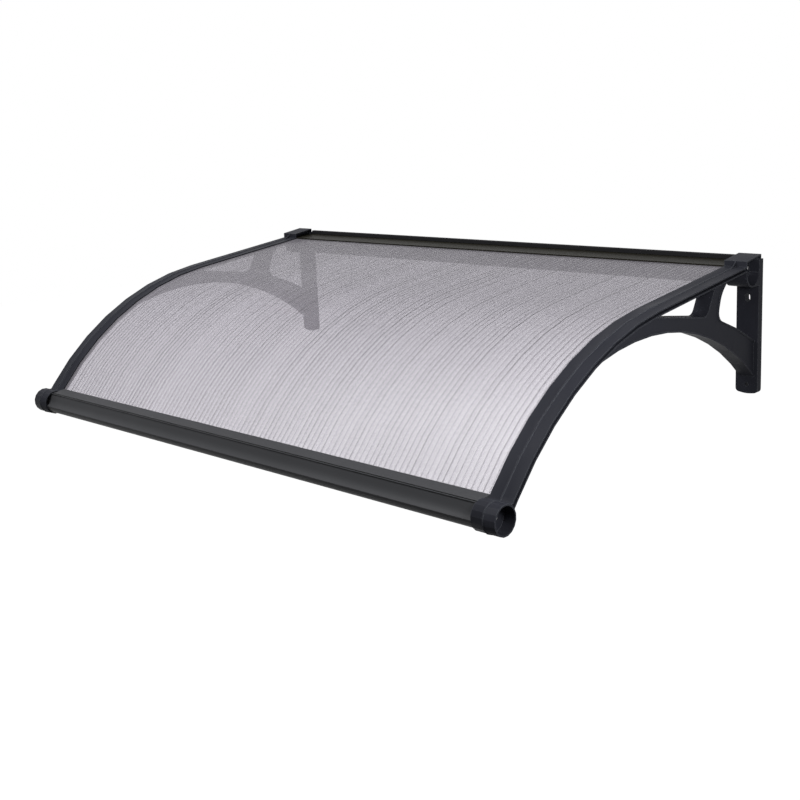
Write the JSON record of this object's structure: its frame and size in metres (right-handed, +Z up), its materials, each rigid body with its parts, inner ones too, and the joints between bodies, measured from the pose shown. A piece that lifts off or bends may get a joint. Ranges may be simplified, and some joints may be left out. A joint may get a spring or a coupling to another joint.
{
  "type": "polycarbonate door canopy",
  "caption": "Wall-fixed door canopy: a clear ribbed sheet, straight at the wall and bent down in front, in two moulded brackets with a front and a rear bar.",
  "frame": {"origin": "in the wall plane, half way along the wall bar, on the flat back face of that bar", "axes": "+Z up, +Y into the wall, +X along the wall; the canopy reaches out along -Y and is the same on both sides of the Y-Z plane"},
  "size_m": [1.2, 0.7408, 0.3],
  "materials": {
    "clear_sheet": "clear ribbed twin-wall polycarbonate, faintly cool",
    "black_moulding": "satin black moulding",
    "bronze_bar": "dark grey-bronze coated aluminium extrusion",
    "seal_rubber": "matt black",
    "screw_steel": "bright zinc"
  },
  "bodies": {
    "root": {"canopy_sheet": "clear_sheet", "front_bar": "bronze_bar", "wall_bar": "bronze_bar", "wall_seal": "seal_rubber", "bracket_left": "black_moulding", "bracket_right": "black_moulding", "front_screw_left": "screw_steel", "front_screw_right": "screw_steel", "wall_bar_screw_low_left": "screw_steel", "wall_bar_screw_low_right": "screw_steel", "wall_bar_screw_high_left": "screw_steel", "wall_bar_screw_high_right": "screw_steel"}
  },
  "joints": []
}
